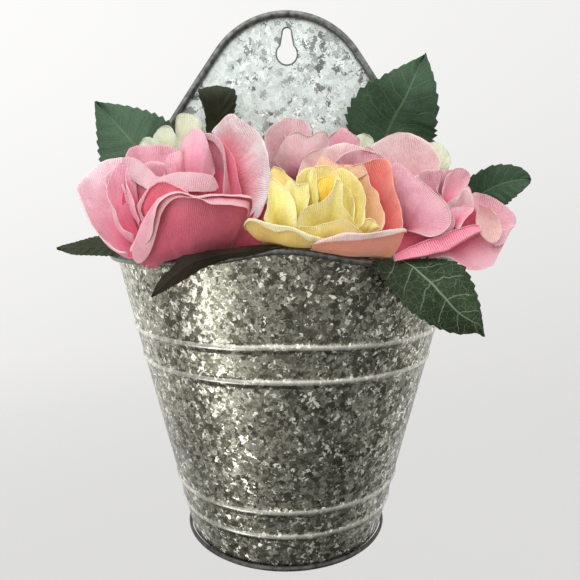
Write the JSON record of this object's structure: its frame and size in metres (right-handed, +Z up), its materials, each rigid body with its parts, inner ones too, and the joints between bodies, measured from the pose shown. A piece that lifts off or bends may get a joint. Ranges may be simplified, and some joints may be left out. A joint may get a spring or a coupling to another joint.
{
  "type": "wall planter with artificial roses",
  "caption": "Galvanised half-round hanging tin with an arched back plate and keyhole, filled with pink, peach, yellow and cream fabric roses and leaves.",
  "frame": {"origin": "middle of the back plate's rear face at the height of the tin's rim, where the plate lies on the wall", "axes": "+Z up along the back plate, +Y into the wall, so the tin and the roses stand out towards -Y, +X to the viewer's right"},
  "size_m": [0.2312, 0.0987, 0.2762],
  "materials": {
    "galvanised_steel": "hot-dip galvanised sheet with a mottled spangle",
    "hem_steel": "dull dark galvanised sheet",
    "wire_steel": "plain steel wire",
    "floral_foam": "dry crumbly foam",
    "stem_green": "moulded plastic over wire",
    "leaf_green": "printed stiffened fabric",
    "pink_fabric": "ribbed stiffened fabric with pale edges",
    "pale_pink_fabric": "ribbed stiffened fabric",
    "yellow_fabric": "ribbed stiffened fabric",
    "peach_fabric": "ribbed stiffened fabric with pale edges",
    "cream_fabric": "ribbed stiffened fabric"
  },
  "bodies": {
    "root": {"arch_wire": "wire_steel", "back_plate": "galvanised_steel", "back_rose_heart": "pale_pink_fabric", "back_rose_petal_1": "pale_pink_fabric", "back_rose_petal_2": "pale_pink_fabric", "back_rose_petal_3": "pale_pink_fabric", "back_rose_petal_4": "pale_pink_fabric", "back_rose_stem": "stem_green", "base_pan": "hem_steel", "cream_rose_left_heart": "cream_fabric", "cream_rose_left_petal_1": "cream_fabric", "cream_rose_left_petal_2": "cream_fabric", "cream_rose_left_petal_3": "cream_fabric", "cream_rose_left_petal_4": "cream_fabric", "cream_rose_left_stem": "stem_green", "cream_rose_right_heart": "cream_fabric", "cream_rose_right_petal_1": "cream_fabric", "cream_rose_right_petal_2": "cream_fabric", "cream_rose_right_petal_3": "cream_fabric", "cream_rose_right_petal_4": "cream_fabric", "cream_rose_right_stem": "stem_green", "foam_block": "floral_foam", "front_rose_heart": "yellow_fabric", "front_rose_petal_1": "peach_fabric", "front_rose_petal_2": "peach_fabric", "front_rose_petal_3": "peach_fabric", "front_rose_petal_4": "peach_fabric", "front_rose_petal_5": "yellow_fabric", "front_rose_petal_6": "yellow_fabric", "front_rose_petal_7": "yellow_fabric", "front_rose_stem": "stem_green", "leaf_front_left": "leaf_green", "leaf_front_right": "leaf_green", "leaf_left_high": "leaf_green", "leaf_left_low": "leaf_green", "leaf_right_high": "leaf_green", "leaf_right_tip": "leaf_green", "leaf_upright": "leaf_green", "left_rose_heart": "pink_fabric", "left_rose_petal_1": "pink_fabric", "left_rose_petal_2": "pink_fabric", "left_rose_petal_3": "pink_fabric", "left_rose_petal_4": "pink_fabric", "left_rose_petal_5": "pink_fabric", "left_rose_petal_6": "pink_fabric", "left_rose_petal_7": "pink_fabric", "left_rose_stem": "stem_green", "right_rose_heart": "pink_fabric", "right_rose_petal_1": "pink_fabric", "right_rose_petal_2": "pink_fabric", "right_rose_petal_3": "pink_fabric", "right_rose_petal_4": "pink_fabric", "right_rose_petal_5": "pink_fabric", "right_rose_petal_6": "pink_fabric", "right_rose_petal_7": "pink_fabric", "right_rose_stem": "stem_green", "rim_wire": "wire_steel", "tin_body": "galvanised_steel"}
  },
  "joints": []
}
